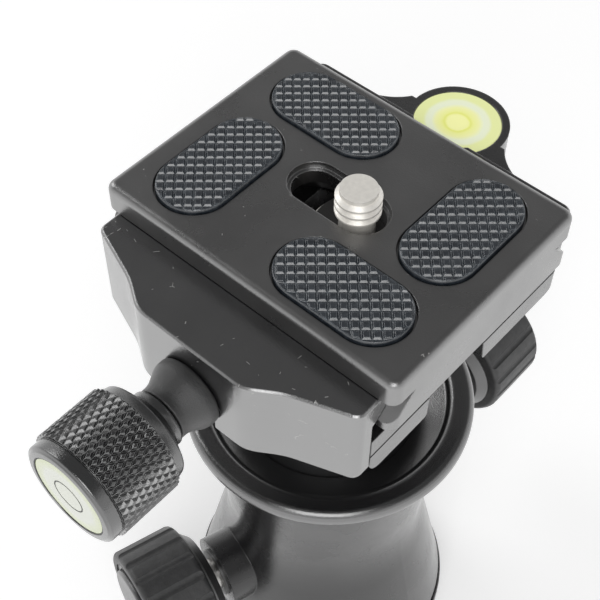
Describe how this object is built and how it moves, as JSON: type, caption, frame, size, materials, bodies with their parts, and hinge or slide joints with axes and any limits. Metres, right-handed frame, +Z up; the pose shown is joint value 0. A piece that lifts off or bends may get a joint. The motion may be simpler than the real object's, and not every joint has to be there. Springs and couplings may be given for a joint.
{
  "type": "tripod ball head",
  "caption": "Tripod ball head with a screw-knob dovetail clamp, quick-release plate, bubble levels, a main ball lock and a pan lock.",
  "frame": {"origin": "mouth of the tripod thread, at the centre of the pan base's underside", "axes": "+Z up through the ball and the stem, out of the camera screw; +X along the dovetail; -Y towards the clamp knob"},
  "size_m": [0.05, 0.1005, 0.1161],
  "materials": {
    "anodised_black": "satin black anodised",
    "anodised_plate": "satin black anodised, fine bead-blasted",
    "steel": "turned, bright",
    "spring_steel": "drawn wire",
    "rubber": "moulded, studded",
    "knob_rubber": "moulded, ribbed",
    "ball_black": "fine matt anodised",
    "polymer": "low-friction polymer",
    "brass": "turned",
    "vial_body": "opaque pale green-white",
    "vial_liquid": "yellow-green level fluid",
    "vial_bubble": "air bubble",
    "vial_window": "clear acrylic"
  },
  "bodies": {
    "base": {"base_disc": "anodised_black", "base_spindle": "anodised_black", "thread_insert": "steel", "base_screws": "steel"},
    "housing": {"housing": "anodised_black", "lip_ring": "anodised_black", "lip_grub_screws": "steel", "lock_bush": "brass", "pan_bush": "brass", "ring_nut": "brass", "pan_washer": "polymer"},
    "press": {"lock_piston": "steel", "ball_cup": "polymer"},
    "plunger": {"lock_plunger": "steel"},
    "lock_knob": {"lock_screw": "steel", "lock_knob_core": "anodised_black", "lock_knob_grip": "knob_rubber", "lock_knob_cap": "anodised_black"},
    "pan_shoe": {"pan_shoe": "polymer"},
    "pan_knob": {"pan_screw": "steel", "pan_knob_core": "anodised_black", "pan_knob_grip": "knob_rubber", "pan_knob_cap": "anodised_black"},
    "ball": {"ball": "ball_black"},
    "clamp": {"clamp_base": "anodised_black", "clamp_bolt": "steel", "ear_level_cup": "vial_body", "ear_level_liquid": "vial_liquid", "ear_level_bubble": "vial_bubble", "ear_level_window": "vial_window", "jaw_springs": "spring_steel"},
    "jaw": {"jaw": "anodised_black", "guide_pins": "steel", "clamp_collar": "anodised_black"},
    "clamp_knob": {"clamp_screw": "steel", "clamp_knob": "anodised_black", "knob_level_cup": "vial_body", "knob_level_liquid": "vial_liquid", "knob_level_bubble": "vial_bubble", "knob_level_window": "vial_window"},
    "plate": {"qr_plate": "anodised_plate", "pad_front": "rubber", "pad_back": "rubber", "pad_left": "rubber", "pad_right": "rubber", "stop_screws": "steel"},
    "screw_washer": {"screw_washer": "steel"},
    "camera_screw": {"camera_screw": "steel"}
  },
  "joints": [
    {"name": "pan_turn", "type": "hinge", "parent": "base", "child": "housing", "pos_m": [0, 0, 0.00895], "axis": [0, 0, 1], "continuous": true},
    {"name": "ball_tilt", "type": "hinge", "parent": "housing", "child": "ball", "pos_m": [0, 0, 0.05845], "axis": [0, 1, 0], "range_deg": [-90, 45]},
    {"name": "stem_turn", "type": "hinge", "parent": "ball", "child": "clamp", "pos_m": [0, 0, 0.0909], "axis": [0, 0, 1], "continuous": true},
    {"name": "jaw_slide", "type": "slide", "parent": "clamp", "child": "jaw", "axis": [0, -1, 0], "range_m": [0, 0.0024]},
    {"name": "clamp_knob_turn", "type": "hinge", "parent": "jaw", "child": "clamp_knob", "pos_m": [0, -0.03435, 0.0988], "axis": [0, -1, 0], "range_deg": [0, 1080]},
    {"name": "plate_slide", "type": "slide", "parent": "clamp", "child": "plate", "axis": [1, 0, 0], "range_m": [-0.01, 0.01]},
    {"name": "screw_slide", "type": "slide", "parent": "plate", "child": "screw_washer", "axis": [1, 0, 0], "range_m": [-0.0073, 0.0007]},
    {"name": "screw_turn", "type": "hinge", "parent": "screw_washer", "child": "camera_screw", "pos_m": [0.0033, 0, 0.1079], "axis": [0, 0, 1], "continuous": true},
    {"name": "plunger_slide", "type": "slide", "parent": "housing", "child": "plunger", "axis": [0, 1, 0], "range_m": [0, 0.0009375]},
    {"name": "lock_turn", "type": "hinge", "parent": "plunger", "child": "lock_knob", "pos_m": [0, 0.0105, 0.03645], "axis": [0, 1, 0], "range_deg": [0, 270]},
    {"name": "press_slide", "type": "slide", "parent": "housing", "child": "press", "axis": [0, 0, -1], "range_m": [0, 0.00024]},
    {"name": "shoe_slide", "type": "slide", "parent": "housing", "child": "pan_shoe", "axis": [-0.2924, -0.9563, 0], "range_m": [0, 0.00075]},
    {"name": "pan_lock_turn", "type": "hinge", "parent": "pan_shoe", "child": "pan_knob", "pos_m": [-0.00439, -0.01435, 0.02595], "axis": [-0.2924, -0.9563, 0], "range_deg": [0, 270]}
  ],
  "couplings": [
    {"joint": "clamp_knob_turn", "follows": "jaw_slide", "rad_per_m": 7854},
    {"joint": "lock_turn", "follows": "plunger_slide", "rad_per_m": 5026.5},
    {"joint": "press_slide", "follows": "plunger_slide", "ratio": 0.25},
    {"joint": "pan_lock_turn", "follows": "shoe_slide", "rad_per_m": 6283.2}
  ]
}
